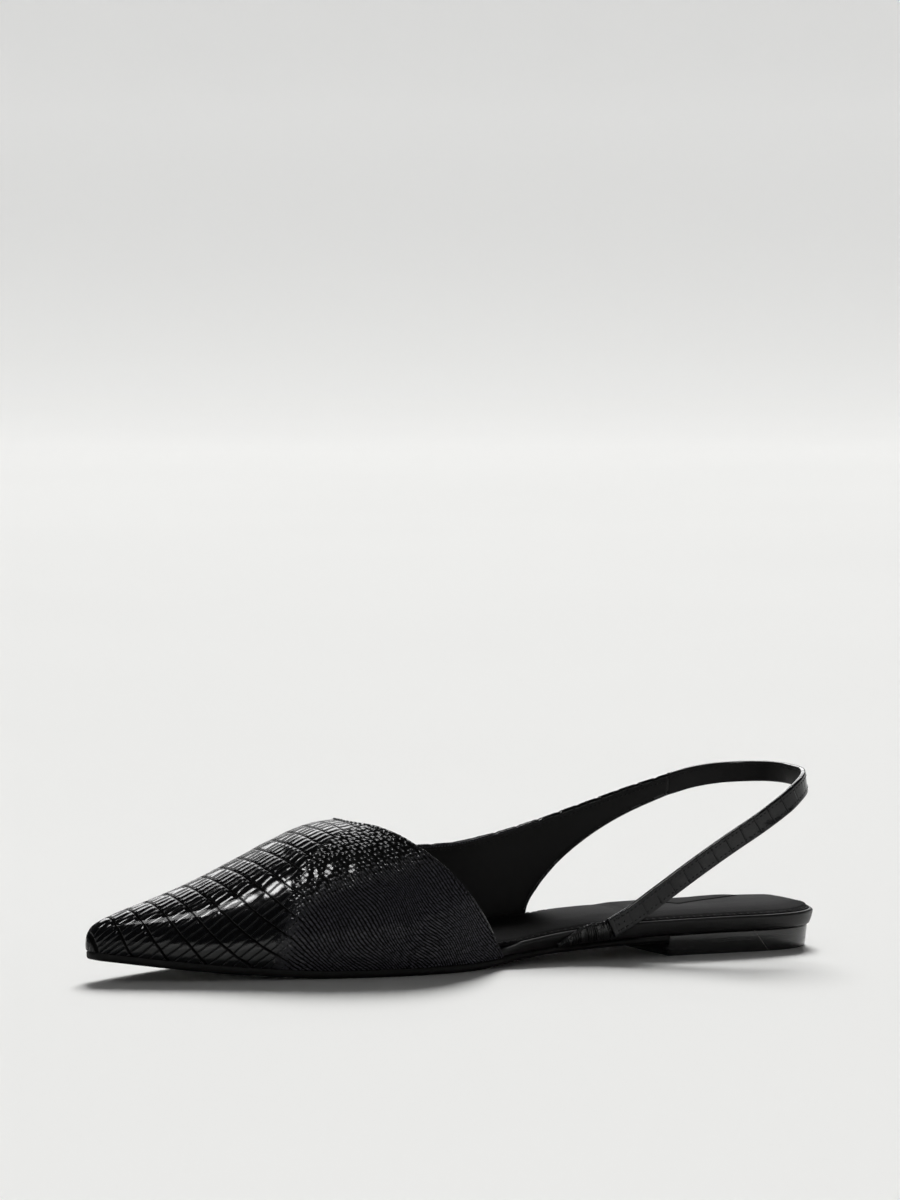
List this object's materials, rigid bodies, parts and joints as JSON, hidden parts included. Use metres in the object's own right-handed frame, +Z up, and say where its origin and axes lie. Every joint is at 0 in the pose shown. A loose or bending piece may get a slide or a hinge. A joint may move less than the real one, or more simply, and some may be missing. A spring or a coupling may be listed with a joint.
{
  "type": "sling back flat",
  "caption": "Pointed flat shoe in embossed leather with a closed outer quarter, an open inner waist and a sling strap round the heel.",
  "frame": {"origin": "centre of the shoe's box at floor level", "axes": "+X along the shoe to the toe, +Y to the wearer's left, the inner side of this right shoe, +Z up"},
  "size_m": [0.2646, 0.0736, 0.0611],
  "materials": {
    "embossed_leather": "glossy, embossed with scales",
    "smooth_leather": "satin",
    "ruched_elastic": "glossy, gathered over elastic",
    "outsole_rubber": "satin",
    "heel_plastic": "satin gloss"
  },
  "bodies": {
    "root": {"upper": "embossed_leather", "sling_strap": "embossed_leather", "elastic_gore": "ruched_elastic", "insole": "smooth_leather", "insole_board": "smooth_leather", "outsole": "outsole_rubber", "heel": "heel_plastic"}
  },
  "joints": []
}
